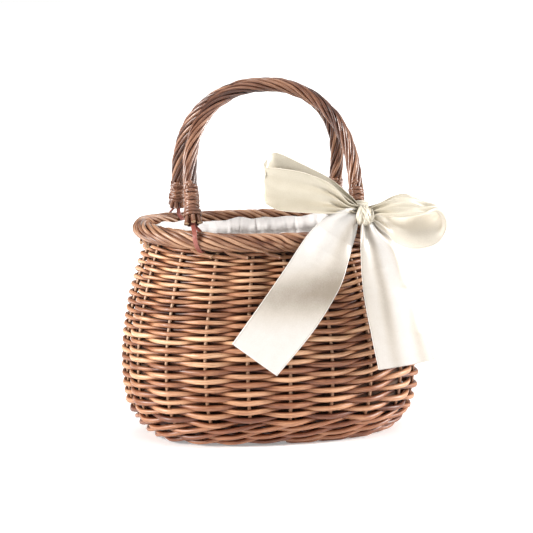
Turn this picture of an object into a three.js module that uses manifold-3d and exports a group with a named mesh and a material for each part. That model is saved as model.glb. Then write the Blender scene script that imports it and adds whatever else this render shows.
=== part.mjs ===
// A flower girl basket: an oval willow basket with two drop handles, a cotton liner and a satin bow.
// Millimetres, +Z up, +X along the basket, the bow on the -Y side. The origin is the middle of the
// underside. The willow rods are simplified: each band or lobed rope stands for many thin rods.

import * as THREE from 'three';
import Module from 'manifold-3d';
import { mergeVertices } from 'three/addons/utils/BufferGeometryUtils.js';

// --- driving dimensions -----------------------------------------------------------------------
const GAP = 0.3;                       // clearance between pieces that touch
const TURN = 2 * Math.PI;

// Outside of the woven wall: half length, half depth and how square its oval is.
const FOOT = { length: 86, depth: 58, power: 2.5, height: 0 };
const BELLY = { length: 115.4, depth: 82, power: 2.5, height: 62 };
const NECK = { length: 100, depth: 69, power: 2.3, height: 140 };

const STAKE_COUNT = 20;
const STAKE_RADIUS = 1.5;
const STAKE_START = -0.245;            // share of the way round, so one stake is near the middle
const COLUMNS = 2 * STAKE_COUNT;
const BAND_THICKNESS = 2.4;
const STAKE_INSET = BAND_THICKNESS + GAP + STAKE_RADIUS;
const WAVE = STAKE_RADIUS + GAP + BAND_THICKNESS / 2;
const WALL_THICKNESS = 2 * STAKE_INSET;

const UPSETT_LEVELS = [0, 5, 11, 17];
const COURSE_COUNT = 7;
const COURSE_START = UPSETT_LEVELS.at(-1) + GAP / 2;
const COURSE_TOP = 134;
const COURSE_LEVELS = Array.from({ length: COURSE_COUNT + 1 }, (_, index) => (
  COURSE_START + (index / COURSE_COUNT) * (COURSE_TOP - COURSE_START)));
const TOP_WALE_HEIGHT = 7;
const STAKE_LEVELS = [...UPSETT_LEVELS, ...COURSE_LEVELS.slice(1), COURSE_TOP + TOP_WALE_HEIGHT, 147];

const BORDER = { length: 97, depth: 69, power: 2.2, height: 156.5, rise: 4.7, tip: 1.5, radius: 7.2 };
const BORDER_LOBES = 5;
const BORDER_TURNS = 2;
const BORDER_COLUMNS = 48;

const BASE_SLAB = 3.2;
const BASE_INSET = WALL_THICKNESS + 0.6;
const STICK_RADIUS = 3.2;
const LONG_STICK_RADIUS = 2;
const LONG_STICK_PLACES = [-9, 9];
const SHORT_STICK_PITCH = 25;
const SHORT_STICK_COUNT = 5;

const HANDLE = {
  halfSpan: 63,
  shift: -0.8,                         // the arches stand a little left of the middle
  pivotDepth: 55.3,
  frontPivotHeight: 155.2,
  backPivotHeight: 159.2,               // the rim is higher at the back
  footReach: 14.3,                     // from the pivot to the cut ends of the handle rods
  legReach: 47,                        // from the pivot to the top of the straight legs
  topDepth: 5.8,
  topHeight: 268.6,
  archPower: 2.2,
};
const ROPE_RADIUS = 5.3;
const CORE_RADIUS = 2;
const WINDING_BORE = 2.9;
const FOOT_FLARE = 1.35;               // the rods' cut ends spread below the binding
const WINDING_TURNS = 2.5;
const ARCH_STEPS = 24;
const BINDING = { start: 22.5, length: 23, inner: 5.6, outer: 6.5, wraps: 4 };

// Straps stand at the handle feet, as shares of the way round that are clear of the stakes.
const STRAP_PLACES = { front_left: 0.63, front_right: 0.877, back_right: 0.13, back_left: 0.377 };
const STRAP = { thickness: 1.2, width: 5, inner: 7.6, reach: 2.8, sides: 24 };

const LINER_LEVELS = [10.5, 18, 34, 62, 90, 110, 122, 134, 141, 146.3, 158];
const LINER_CLOTH = 1.2;
const LINER = { floor: 10.5, inset: 9.7, neck: 126, borderInset: 9.8, inner: 0.985 };

const RIBBON = { width: 41, thickness: 1.2 };
const KNOT = { x: 62.6, y: -65, z: 173.5, halfLength: 8, halfDepth: 7.2, halfHeight: 9.2 };
const WRAP = { start: 15, length: 11, inner: 7.5, outer: 8.5 };

// --- materials --------------------------------------------------------------------------------
function material(color, roughness) {
  return new THREE.MeshStandardMaterial({ color, roughness, metalness: 0 });
}

const WILLOW = material(0xc08a62, 0.6);
const DARK_WILLOW = material(0xa87452, 0.65);
const LEATHER = material(0x9a4a3c, 0.55);
const COTTON = material(0xf2ece0, 0.9);
const SATIN = material(0xfaf3e1, 0.4);

// --- ovals ------------------------------------------------------------------------------------
function signedPower(value, power) {
  return Math.sign(value) * Math.abs(value) ** power;
}

// Point on a superellipse and the outward direction there; turn runs from 0 to 1.
function ovalPoint(oval, turn, outwards = 0) {
  const cos = Math.cos(turn * TURN);
  const sin = Math.sin(turn * TURN);
  const x = oval.length * signedPower(cos, 2 / oval.power);
  const y = oval.depth * signedPower(sin, 2 / oval.power);
  const normal = new THREE.Vector2(
    signedPower(cos, 2 - 2 / oval.power) / oval.length,
    signedPower(sin, 2 - 2 / oval.power) / oval.depth,
  ).normalize();
  return { x: x + normal.x * outwards, y: y + normal.y * outwards, normal };
}

function mixOvals(from, to, share) {
  return {
    length: THREE.MathUtils.lerp(from.length, to.length, share),
    depth: THREE.MathUtils.lerp(from.depth, to.depth, share),
    power: THREE.MathUtils.lerp(from.power, to.power, share),
  };
}

// The wall swells quickly from the foot to the belly, then draws in to the neck.
function wallOval(z) {
  if (z < BELLY.height) {
    const below = 1 - z / BELLY.height;
    return mixOvals(FOOT, BELLY, (1 - below ** 3) ** 0.66);
  }
  const above = (z - BELLY.height) / (NECK.height - BELLY.height);
  return mixOvals(BELLY, NECK, above ** 1.7);
}

// Evenly spaced places round the belly, as turns of the oval.
class BellyCurve extends THREE.Curve {
  getPoint(turn) {
    const { x, y } = ovalPoint(BELLY, turn);
    return new THREE.Vector3(x, y, 0);
  }
}
const belly = new BellyCurve();
belly.arcLengthDivisions = 1600;

function evenTurn(share) {
  const wrapped = ((share % 1) + 1) % 1;
  return belly.getUtoTmapping(wrapped);
}

function stakeTurn(index) {
  return evenTurn(STAKE_START + index / STAKE_COUNT);
}

function columnTurn(column) {
  return evenTurn(STAKE_START + column / COLUMNS);
}

// --- shape helpers ----------------------------------------------------------------------------
function corner(geometry, slot) {
  return new THREE.Vector3().fromBufferAttribute(geometry.attributes.position, geometry.index.getX(slot));
}

function signedVolume(geometry) {
  let volume = 0;
  for (let slot = 0; slot < geometry.index.count; slot += 3) {
    const [a, b, c] = [0, 1, 2].map((offset) => corner(geometry, slot + offset));
    volume += a.dot(b.cross(c)) / 6;
  }
  return volume;
}

// Merges shared vertices and turns the faces outwards.
function tidy(geometry) {
  geometry.deleteAttribute('normal');
  geometry.deleteAttribute('uv');
  const merged = mergeVertices(geometry, 1e-4);
  if (signedVolume(merged) < 0) {
    merged.setIndex(Array.from(merged.index.array).reverse());
  }
  merged.computeVertexNormals();
  return merged;
}

function namedMesh(name, geometry, finish) {
  const mesh = new THREE.Mesh(geometry, finish);
  mesh.name = name;
  return mesh;
}

// A closed profile carried round a ring; place(column, x, y) says where each profile point goes.
function ringSolid(profile, columns, place) {
  const points = profile.map(([x, y]) => new THREE.Vector2(x, y));
  const geometry = new THREE.LatheGeometry(points, columns);
  const position = geometry.attributes.position;
  for (let index = 0; index < position.count; index += 1) {
    const column = Math.floor(index / points.length) % columns;
    const { x, y } = points[index % points.length];
    position.setXYZ(index, ...place(column, x, y));
  }
  return tidy(geometry);
}

// A flat section carried through stations, each { centre, across, up, size }.
function sweepSolid(section, stations) {
  const steps = stations.length - 1;
  const shape = new THREE.Shape(section.map(([x, y]) => new THREE.Vector2(x, y)));
  const geometry = new THREE.ExtrudeGeometry(shape, { depth: steps, steps, bevelEnabled: false });
  const position = geometry.attributes.position;
  for (let index = 0; index < position.count; index += 1) {
    const { centre, across, up, size = 1, stretch = 1 } = stations[Math.round(position.getZ(index))];
    const point = centre.clone()
      .addScaledVector(across, position.getX(index) * size * stretch)
      .addScaledVector(up, position.getY(index) * size);
    position.setXYZ(index, point.x, point.y, point.z);
  }
  return tidy(geometry);
}

function circle(radius, sides) {
  return Array.from({ length: sides }, (_, side) => {
    const angle = (side / sides) * TURN;
    return [radius * Math.cos(angle), radius * Math.sin(angle)];
  });
}

function closeLoop(points) {
  return [...points, points[0]];
}

const wasm = await Module();
wasm.setup();

function toManifold(geometry) {
  const mesh = new wasm.Mesh({
    numProp: 3,
    vertProperties: new Float32Array(geometry.attributes.position.array),
    triVerts: new Uint32Array(geometry.index.array),
  });
  return new wasm.Manifold(mesh);
}

function cut(geometry, tools) {
  const solid = tools.reduce((rest, tool) => rest.subtract(toManifold(tool)), toManifold(geometry));
  const mesh = solid.getMesh();
  const result = new THREE.BufferGeometry();
  result.setAttribute('position', new THREE.BufferAttribute(mesh.vertProperties, 3));
  result.setIndex(new THREE.BufferAttribute(mesh.triVerts, 1));
  result.computeVertexNormals();
  return result;
}

// --- base -------------------------------------------------------------------------------------
const baseOval = {
  length: FOOT.length - BASE_INSET,
  depth: FOOT.depth - BASE_INSET,
  power: FOOT.power,
};
const STICK_LEVEL = BASE_SLAB + GAP + STICK_RADIUS;

function baseWeave() {
  const outline = Array.from({ length: COLUMNS }, (_, column) => {
    const { x, y } = ovalPoint(baseOval, columnTurn(column));
    return new THREE.Vector2(x, y);
  });
  const settings = { depth: BASE_SLAB, bevelEnabled: false };
  return tidy(new THREE.ExtrudeGeometry(new THREE.Shape(outline), settings));
}

// Half the width of the base at a distance from its middle.
function baseReach(distance, along, across) {
  const share = 1 - (Math.abs(distance) / along) ** baseOval.power;
  return across * share ** (1 / baseOval.power);
}

function longStick(y, radius) {
  const length = 2 * baseReach(y, baseOval.depth, baseOval.length) - 2;
  const geometry = new THREE.CylinderGeometry(radius, radius, length, 10);
  geometry.rotateZ(Math.PI / 2);
  geometry.translate(0, y, STICK_LEVEL);
  return tidy(geometry);
}

// A short stick is pierced, and the long sticks pass through it.
function shortStick(x) {
  const length = 2 * baseReach(x, baseOval.length, baseOval.depth) - 2;
  const geometry = new THREE.CylinderGeometry(STICK_RADIUS, STICK_RADIUS, length, 10);
  geometry.translate(x, 0, STICK_LEVEL);
  const holes = LONG_STICK_PLACES.map((y) => longStick(y, LONG_STICK_RADIUS + GAP));
  return cut(tidy(geometry), holes);
}

// --- wall -------------------------------------------------------------------------------------
// Upright rod between the outer and inner strokes; its sections lie flat.
function stake(index) {
  const turn = stakeTurn(index);
  const stations = STAKE_LEVELS.map((z) => {
    const { x, y, normal } = ovalPoint(wallOval(z), turn, -STAKE_INSET);
    return {
      centre: new THREE.Vector3(x, y, z),
      across: new THREE.Vector3(-normal.y, normal.x, 0),
      up: new THREE.Vector3(normal.x, normal.y, 0),
    };
  });
  const top = stations.at(-1);
  top.centre.z = borderHeight(turn) - BORDER.radius - 2 * GAP;
  return sweepSolid(circle(STAKE_RADIUS, 6), stations);
}

// A closed band that passes outside one stake and inside the next, from the first level to the last.
function wovenBand(levels, phase) {
  const outside = levels.map((z) => [BAND_THICKNESS / 2, z]);
  const inside = levels.map((z) => [-BAND_THICKNESS / 2, z]).reverse();
  return ringSolid(closeLoop([...outside, ...inside]), COLUMNS, (column, thickness, z) => {
    const side = column % 2 ? 0 : Math.cos(Math.PI * (column / 2 + phase));
    const offset = -STAKE_INSET + side * WAVE + thickness;
    const { x, y } = ovalPoint(wallOval(z), columnTurn(column), offset);
    return [x, y, z];
  });
}

function borderHeight(turn) {
  const angle = turn * TURN;
  return BORDER.height + BORDER.rise * Math.cos(angle) ** 2 + BORDER.tip * Math.sin(angle);
}

// Rope-like rolled border: a lobed section that turns as it goes round.
function rolledBorder() {
  const lobes = circle(BORDER.radius, 2 * BORDER_LOBES).map(([x, y], side) => {
    const depth = side % 2 ? 0.86 : 1;
    return [x * depth, y * depth];
  });
  return ringSolid(closeLoop(lobes), BORDER_COLUMNS, (column, sectionX, sectionY) => {
    const share = column / BORDER_COLUMNS;
    const turn = evenTurn(share);
    const twist = share * BORDER_TURNS * TURN;
    const outwards = sectionX * Math.cos(twist) - sectionY * Math.sin(twist);
    const upwards = sectionX * Math.sin(twist) + sectionY * Math.cos(twist);
    const { x, y } = ovalPoint(BORDER, turn, outwards);
    return [x, y, borderHeight(turn) + upwards];
  });
}

// The liner hugs the wall, then tucks in past the border; reach 0 is the middle of its floor.
function linerOval(z) {
  const wall = wallOval(Math.min(z, LINER.neck));
  const low = { ...wall, length: wall.length - LINER.inset, depth: wall.depth - LINER.inset };
  const high = {
    length: BORDER.length - LINER.borderInset,
    depth: BORDER.depth - LINER.borderInset,
    power: BORDER.power,
  };
  const share = THREE.MathUtils.smoothstep(z, LINER.neck, BORDER.height - BORDER.tip - BORDER.radius);
  return mixOvals(low, high, share);
}

function linerBag() {
  const outer = LINER_LEVELS.map((z) => [1, z]);
  const inner = LINER_LEVELS.slice(1).map((z) => [LINER.inner, z]).reverse();
  const floor = [0, LINER.floor];
  const innerFloor = LINER.floor + LINER_CLOTH;
  const profile = [floor, ...outer, ...inner, [0.9, innerFloor], [0, innerFloor]];
  return ringSolid(profile, COLUMNS, (column, reach, z) => {
    const { x, y } = ovalPoint(linerOval(z), columnTurn(column));
    return [x * reach, y * reach, z];
  });
}

// --- handles ----------------------------------------------------------------------------------
// Each handle lies in a plane through its pivot axis; side is -1 in front and +1 behind.
function handlePlane(side) {
  const pivotHeight = side < 0 ? HANDLE.frontPivotHeight : HANDLE.backPivotHeight;
  const rise = new THREE.Vector3(
    0,
    side * (HANDLE.topDepth - HANDLE.pivotDepth),
    HANDLE.topHeight - pivotHeight,
  );
  return {
    origin: new THREE.Vector3(HANDLE.shift, side * HANDLE.pivotDepth, pivotHeight),
    height: rise.length(),
    up: rise.normalize(),
    facing: new THREE.Vector3(1, 0, 0).cross(rise).normalize(),
  };
}

// Stations from the left foot, up the straight leg, over the arch and down to the right foot.
function handleStations(side, footSize) {
  const { origin, height, up, facing } = handlePlane(side);
  const arch = height - HANDLE.legReach;
  const outline = Array.from({ length: ARCH_STEPS + 1 }, (_, step) => {
    const angle = Math.PI * (1 - step / ARCH_STEPS);
    return [
      HANDLE.halfSpan * signedPower(Math.cos(angle), 2 / HANDLE.archPower),
      HANDLE.legReach + arch * Math.abs(Math.sin(angle)) ** (2 / HANDLE.archPower),
    ];
  });
  const legs = [HANDLE.footReach, BINDING.start - GAP, BINDING.start + BINDING.length];
  const points = [
    ...legs.map((reach) => [-HANDLE.halfSpan, reach]),
    ...outline,
    ...legs.map((reach) => [HANDLE.halfSpan, reach]).reverse(),
  ];
  return points.map(([x, reach], index) => {
    const before = points[Math.max(index - 1, 0)];
    const after = points[Math.min(index + 1, points.length - 1)];
    const along = new THREE.Vector3(after[0] - before[0], 0, 0)
      .addScaledVector(up, after[1] - before[1])
      .normalize();
    return {
      centre: origin.clone().addScaledVector(up, reach).setX(origin.x + x),
      across: facing.clone(),
      up: along.cross(facing).normalize(),
      size: index % (points.length - 1) === 0 ? footSize : 1,
    };
  });
}

// One of the two bundles of rods that wind round the core, as half of a thick tube.
function windingSection() {
  const margin = 0.12;
  const arc = (radius, reverse) => Array.from({ length: 5 }, (_, step) => {
    const share = reverse ? 1 - step / 4 : step / 4;
    const angle = THREE.MathUtils.lerp(margin, Math.PI - margin, share);
    return [radius * Math.cos(angle), radius * Math.sin(angle)];
  });
  return [...arc(ROPE_RADIUS, false), ...arc(WINDING_BORE, true)];
}

function winding(side, startAngle) {
  const stations = handleStations(side, FOOT_FLARE).map((station, index, all) => {
    const angle = startAngle + (index / (all.length - 1)) * WINDING_TURNS * TURN;
    const { across, up } = station;
    return {
      ...station,
      across: across.clone().multiplyScalar(Math.cos(angle)).addScaledVector(up, Math.sin(angle)),
      up: up.clone().multiplyScalar(Math.cos(angle)).addScaledVector(across, -Math.sin(angle)),
    };
  });
  return sweepSolid(windingSection(), stations);
}

// A sleeve round a leg, its profile given as [radius, reach along the leg].
function legSleeve(side, hand, profile) {
  const { origin, up, facing } = handlePlane(side);
  const foot = origin.clone().setX(origin.x + hand * HANDLE.halfSpan);
  const columns = 12;
  return ringSolid(closeLoop(profile), columns, (column, radius, reach) => {
    const angle = (column / columns) * TURN;
    return foot.clone()
      .addScaledVector(up, reach)
      .addScaledVector(facing, radius * Math.sin(angle))
      .add(new THREE.Vector3(radius * Math.cos(angle), 0, 0))
      .toArray();
  });
}

function binding(side, hand) {
  const wrap = BINDING.length / (2 * BINDING.wraps);
  const outer = Array.from({ length: 2 * BINDING.wraps + 1 }, (_, step) => {
    const radius = step % 2 ? BINDING.outer : BINDING.outer - 0.5;
    return [radius, BINDING.start + step * wrap];
  });
  const inner = [[BINDING.inner, BINDING.start + BINDING.length], [BINDING.inner, BINDING.start]];
  return legSleeve(side, hand, [...outer, ...inner]);
}

// Leather loop round the border, longer on the side of the handle's foot.
function strapLoop(side, place) {
  const { up } = handlePlane(side);
  const half = STRAP.width / 2;
  const profile = [
    [STRAP.inner, -half],
    [STRAP.inner + STRAP.thickness, -half],
    [STRAP.inner + STRAP.thickness, half],
    [STRAP.inner, half],
  ];
  const turn = evenTurn(place);
  const { x, y, normal } = ovalPoint(BORDER, turn);
  const centre = new THREE.Vector3(x, y, borderHeight(turn));
  const outwards = new THREE.Vector3(normal.x, normal.y, 0);
  const along = new THREE.Vector3(-normal.y, normal.x, 0);
  const lean = Math.atan2(up.z, -Math.abs(up.y));
  return ringSolid(closeLoop(profile), STRAP.sides, (column, radius, width) => {
    const angle = (column / STRAP.sides) * TURN;
    const reach = radius + STRAP.reach * Math.max(Math.cos(angle - lean), 0) ** 4;
    return centre.clone()
      .addScaledVector(outwards, reach * Math.cos(angle))
      .add(new THREE.Vector3(0, 0, reach * Math.sin(angle)))
      .addScaledVector(along, width)
      .toArray();
  });
}

// --- bow --------------------------------------------------------------------------------------
function knot() {
  const geometry = new THREE.SphereGeometry(1, 14, 10);
  geometry.scale(KNOT.halfLength, KNOT.halfDepth, KNOT.halfHeight);
  geometry.translate(KNOT.x, KNOT.y, KNOT.z);
  return tidy(geometry);
}

function ribbonWrap() {
  const profile = [
    [WRAP.inner, WRAP.start],
    [WRAP.outer, WRAP.start],
    [WRAP.outer, WRAP.start + WRAP.length],
    [WRAP.inner, WRAP.start + WRAP.length],
  ];
  return legSleeve(-1, 1, profile);
}

// A loop of ribbon from the knot to a far fold, narrow where the knot pinches it.
function ribbonLoop({ start, end, tilt, fold, farWidth }) {
  const from = new THREE.Vector3(...start);
  const reach = new THREE.Vector3(...end).sub(from);
  const half = reach.length() / 2;
  const along = reach.clone().normalize();
  const widthways = new THREE.Vector3(...tilt).normalize();
  const deep = along.clone().cross(widthways).normalize();
  const profile = [[-0.5, -0.5], [0.5, -0.5], [0.5, 0.5], [-0.5, 0.5]];
  const columns = 24;
  const outline = (column) => {
    const angle = (column / columns) * TURN;
    const bulge = 0.3 + 0.7 * (1 - Math.cos(angle)) / 2;
    return new THREE.Vector2(half * (1 - Math.cos(angle)), fold * Math.sin(angle) * bulge);
  };
  return ringSolid(closeLoop(profile), columns, (column, thickness, width) => {
    const here = outline(column);
    const ahead = outline(column + 0.1).sub(outline(column - 0.1)).normalize();
    here.add(new THREE.Vector2(ahead.y, -ahead.x).multiplyScalar(thickness * RIBBON.thickness));
    const share = THREE.MathUtils.smoothstep(here.x, 0, half);
    const rounded = THREE.MathUtils.smoothstep(here.x, half, 2 * half);
    const spread = THREE.MathUtils.lerp(KNOT.halfHeight, RIBBON.width, share);
    const local = THREE.MathUtils.lerp(spread, farWidth, rounded);
    return from.clone()
      .addScaledVector(along, here.x)
      .addScaledVector(deep, here.y)
      .addScaledVector(widthways, width * local)
      .toArray();
  });
}

// A hanging end of ribbon; it leaves the knot gathered and opens to its full width.
function ribbonTail({ route, startTilt, endTilt, startWidth }) {
  const curve = new THREE.CatmullRomCurve3(route.map((point) => new THREE.Vector3(...point)));
  const steps = 10;
  const section = [[-0.5, -0.5], [0.5, -0.5], [0.5, 0.5], [-0.5, 0.5]];
  const stations = Array.from({ length: steps + 1 }, (_, step) => {
    const share = step / steps;
    const opening = THREE.MathUtils.smoothstep(share, 0, 0.45);
    const across = new THREE.Vector3(...startTilt)
      .lerp(new THREE.Vector3(...endTilt), opening)
      .normalize();
    const tangent = curve.getTangent(share);
    return {
      centre: curve.getPoint(share),
      across,
      up: tangent.cross(across).normalize(),
      size: RIBBON.thickness,
      stretch: THREE.MathUtils.lerp(startWidth, RIBBON.width, opening) / RIBBON.thickness,
    };
  });
  return sweepSolid(section, stations);
}

const LEFT_LOOP = {
  start: [53.8, -65, 177],
  end: [-10, -71, 200],
  tilt: [0.34, 0, 0.94],
  fold: 9,
  farWidth: 40,
};
const RIGHT_LOOP = {
  start: [71.4, -66, 172.5],
  end: [125, -66, 165],
  tilt: [0.13, 0, 0.99],
  fold: 8,
  farWidth: 26,
};
const LEFT_TAIL = {
  route: [[51, -70, 167], [42, -74, 156], [23, -80, 130], [-2, -85, 98], [-23.5, -86.5, 72]],
  startTilt: [0.3, 0, -0.95],
  endTilt: [0.81, 0, -0.585],
  startWidth: 10,
};
const RIGHT_TAIL = {
  route: [[67, -69, 163], [69, -74, 146], [75, -77, 118], [84, -77, 90], [93.5, -76, 62]],
  startTilt: [1, 0, 0.1],
  endTilt: [0.97, 0.02, 0.26],
  startWidth: 12,
};

// --- assembly ---------------------------------------------------------------------------------
const basket = new THREE.Group();

function addPiece(name, geometry, finish) {
  basket.add(namedMesh(name, geometry, finish));
}

function addBase() {
  addPiece('base_weave', baseWeave(), WILLOW);
  LONG_STICK_PLACES.forEach((y, index) => {
    addPiece(`base_long_stick_${index + 1}`, longStick(y, LONG_STICK_RADIUS), DARK_WILLOW);
  });
  for (let index = 0; index < SHORT_STICK_COUNT; index += 1) {
    const x = (index - (SHORT_STICK_COUNT - 1) / 2) * SHORT_STICK_PITCH;
    addPiece(`base_short_stick_${index + 1}`, shortStick(x), DARK_WILLOW);
  }
}

function addWall() {
  for (let index = 0; index < STAKE_COUNT; index += 1) {
    addPiece(`side_stake_${index + 1}`, stake(index), DARK_WILLOW);
  }
  addPiece('upsett_wale', wovenBand(UPSETT_LEVELS, 1), WILLOW);
  for (let index = 0; index < COURSE_COUNT; index += 1) {
    const levels = [COURSE_LEVELS[index] + GAP / 2, COURSE_LEVELS[index + 1] - GAP / 2];
    addPiece(`randing_course_${index + 1}`, wovenBand(levels, index % 2), WILLOW);
  }
  addPiece('top_wale', wovenBand([COURSE_TOP + GAP, COURSE_TOP + TOP_WALE_HEIGHT], 1), WILLOW);
  addPiece('rolled_border', rolledBorder(), WILLOW);
  addPiece('liner_bag', linerBag(), COTTON);
}

function addHandle(label, side) {
  addPiece(`${label}_handle_core`, sweepSolid(circle(CORE_RADIUS, 6), handleStations(side, 1)), WILLOW);
  addPiece(`${label}_handle_winding_a`, winding(side, 0), WILLOW);
  addPiece(`${label}_handle_winding_b`, winding(side, Math.PI), WILLOW);
  [['left', -1], ['right', 1]].forEach(([handLabel, hand]) => {
    addPiece(`${label}_${handLabel}_binding`, binding(side, hand), DARK_WILLOW);
    const place = STRAP_PLACES[`${label}_${handLabel}`];
    addPiece(`${label}_${handLabel}_strap`, strapLoop(side, place), LEATHER);
  });
}

function addBow() {
  addPiece('ribbon_wrap', ribbonWrap(), SATIN);
  addPiece('ribbon_knot', knot(), SATIN);
  addPiece('ribbon_loop_left', ribbonLoop(LEFT_LOOP), SATIN);
  addPiece('ribbon_loop_right', ribbonLoop(RIGHT_LOOP), SATIN);
  addPiece('ribbon_tail_left', ribbonTail(LEFT_TAIL), SATIN);
  addPiece('ribbon_tail_right', ribbonTail(RIGHT_TAIL), SATIN);
}

addBase();
addWall();
addHandle('front', -1);
addHandle('back', 1);
addBow();

export default basket;
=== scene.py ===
"""A flower girl basket: woven willow rods, rope handles, a cotton liner and a satin bow.

Shapes are worked out in millimetres, with the CAD model's own driving dimensions, and become metres
when a mesh is made. Every rod is a tube along its own path, so the weave, border and handles are
real geometry; colours, grain and cloth come from node materials.
"""
import math

import bpy
import numpy as np
from mathutils import Matrix, Vector


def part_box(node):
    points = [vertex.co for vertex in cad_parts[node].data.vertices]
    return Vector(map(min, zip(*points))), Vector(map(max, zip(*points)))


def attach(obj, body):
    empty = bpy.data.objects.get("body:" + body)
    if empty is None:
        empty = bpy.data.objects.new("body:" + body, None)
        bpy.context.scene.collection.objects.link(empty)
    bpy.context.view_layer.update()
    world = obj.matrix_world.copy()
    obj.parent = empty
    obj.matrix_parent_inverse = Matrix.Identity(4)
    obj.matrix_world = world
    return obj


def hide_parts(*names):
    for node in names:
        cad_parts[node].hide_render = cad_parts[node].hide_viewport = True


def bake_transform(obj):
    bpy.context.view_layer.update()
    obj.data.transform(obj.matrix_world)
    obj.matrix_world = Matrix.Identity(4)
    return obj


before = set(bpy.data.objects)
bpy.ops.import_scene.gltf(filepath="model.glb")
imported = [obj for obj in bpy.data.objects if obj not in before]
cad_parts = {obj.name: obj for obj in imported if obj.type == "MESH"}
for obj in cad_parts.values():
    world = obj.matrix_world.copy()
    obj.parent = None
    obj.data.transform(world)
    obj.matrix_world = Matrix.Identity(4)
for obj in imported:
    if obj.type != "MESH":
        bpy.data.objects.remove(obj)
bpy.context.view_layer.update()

MM = 0.001
TURN = 2 * math.pi
RIGHT = np.array([1.0, 0.0, 0.0])
UP = np.array([0.0, 0.0, 1.0])
HANDLES = (("front", -1), ("back", 1))
HANDS = (("left", -1), ("right", 1))
rng = np.random.default_rng(7)

# --- driving dimensions, in millimetres, as in the CAD model ---
FOOT = np.array([86.0, 58.0, 2.5])          # half length, half depth, squareness of the oval
BELLY = np.array([115.4, 82.0, 2.5])
NECK = np.array([100.0, 69.0, 2.3])
BELLY_HEIGHT = 62.0
NECK_HEIGHT = 140.0

STAKES = 20
STAKE_START = -0.245
STAKE_RADIUS = 1.5
STAKE_INSET = 4.2
UPSETT_TOP = 17.0
RANDING_TOP = 134.0
COURSES = 7

BORDER = np.array([97.0, 69.0, 2.2])
BORDER_HEIGHT = 156.5
BORDER_RISE = 4.7
BORDER_TIP = 1.5
BORDER_RADIUS = 7.2

HANDLE_SPAN = 63.0
HANDLE_SHIFT = -0.8
PIVOT_DEPTH = 55.3
FRONT_PIVOT_HEIGHT = 155.2
BACK_PIVOT_HEIGHT = 159.2
FOOT_REACH = 14.3
LEG_REACH = 47.0
HANDLE_TOP_DEPTH = 5.8
HANDLE_TOP_HEIGHT = 268.6
ARCH_POWER = 2.2
ROPE_RADIUS = 5.3
BINDING_START = 22.5
BINDING_LENGTH = 23.0

# --- ovals and the wall ---


def unit(vectors):
    return vectors / np.linalg.norm(vectors, axis=-1, keepdims=True)


def smooth(values, low, high):
    share = np.clip((np.asarray(values, float) - low) / (high - low), 0, 1)
    return share * share * (3 - 2 * share)


def signed_power(values, power):
    return np.sign(values) * np.abs(values) ** power


def oval_point(oval, turn):
    """Points on superellipses and their outward directions; turn runs from 0 to 1."""
    length, depth, power = np.moveaxis(np.asarray(oval, float), -1, 0)
    angle = np.asarray(turn, float) * TURN
    cos, sin = np.cos(angle), np.sin(angle)
    point = np.stack([length * signed_power(cos, 2 / power), depth * signed_power(sin, 2 / power)], -1)
    normal = np.stack(
        [signed_power(cos, 2 - 2 / power) / length, signed_power(sin, 2 - 2 / power) / depth], -1)
    return point, unit(normal)


def wall_oval(z):
    """The wall swells quickly from the foot to the belly, then draws in to the neck."""
    z = np.asarray(z, float)
    below = 1 - np.clip(z, 0, BELLY_HEIGHT) / BELLY_HEIGHT
    above = np.clip(z - BELLY_HEIGHT, 0, None) / (NECK_HEIGHT - BELLY_HEIGHT)
    low = FOOT + (BELLY - FOOT) * ((1 - below ** 3) ** 0.66)[..., None]
    high = BELLY + (NECK - BELLY) * (above ** 1.7)[..., None]
    return np.where((z < BELLY_HEIGHT)[..., None], low, high)


def wall_point(turn, z, offset=0.0):
    """Points at an offset from the wall's outer face, along its outward normal, and the normals."""
    turn, z, offset = np.broadcast_arrays(*(np.asarray(x, float) for x in (turn, z, offset)))
    step = 0.4
    flat, outwards = oval_point(wall_oval(z), turn)
    lower, _ = oval_point(wall_oval(np.maximum(z - step, 0)), turn)
    upper, _ = oval_point(wall_oval(z + step), turn)
    slope = np.sum((upper - lower) * outwards, -1) / (z + step - np.maximum(z - step, 0))
    normal = unit(np.concatenate([outwards, -slope[..., None]], -1))
    point = np.concatenate([flat, z[..., None]], -1)
    return point + normal * offset[..., None], normal


def even_turn_table():
    turns = np.linspace(0, 1, 4001)
    points, _ = oval_point(BELLY, turns)
    steps = np.linalg.norm(np.diff(points, axis=0), axis=1)
    shares = np.concatenate([[0], np.cumsum(steps)])
    return turns, shares / shares[-1]


EVEN_TURNS, EVEN_SHARES = even_turn_table()


def even_turn(share):
    """Evenly spaced places round the belly, as turns of the oval."""
    share = np.asarray(share, float)
    return np.interp(share % 1.0, EVEN_SHARES, EVEN_TURNS) + np.floor(share)


def border_height(turn):
    angle = np.asarray(turn) * TURN
    return BORDER_HEIGHT + BORDER_RISE * np.cos(angle) ** 2 + BORDER_TIP * np.sin(angle)


def wobble(count, waves, strength, closed=True):
    """Smooth seeded noise along a path, as a sum of a few sines."""
    span = np.linspace(0, TURN, count, endpoint=not closed)
    total = np.zeros(count)
    for wave in waves:
        total += rng.uniform(0.4, 1.0) * np.sin(wave * span + rng.uniform(0, TURN))
    return total * strength / math.sqrt(len(waves))


# --- meshes ---


def new_object(name, data):
    item = bpy.data.objects.new(name, data)
    bpy.context.scene.collection.objects.link(item)
    return item


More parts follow.
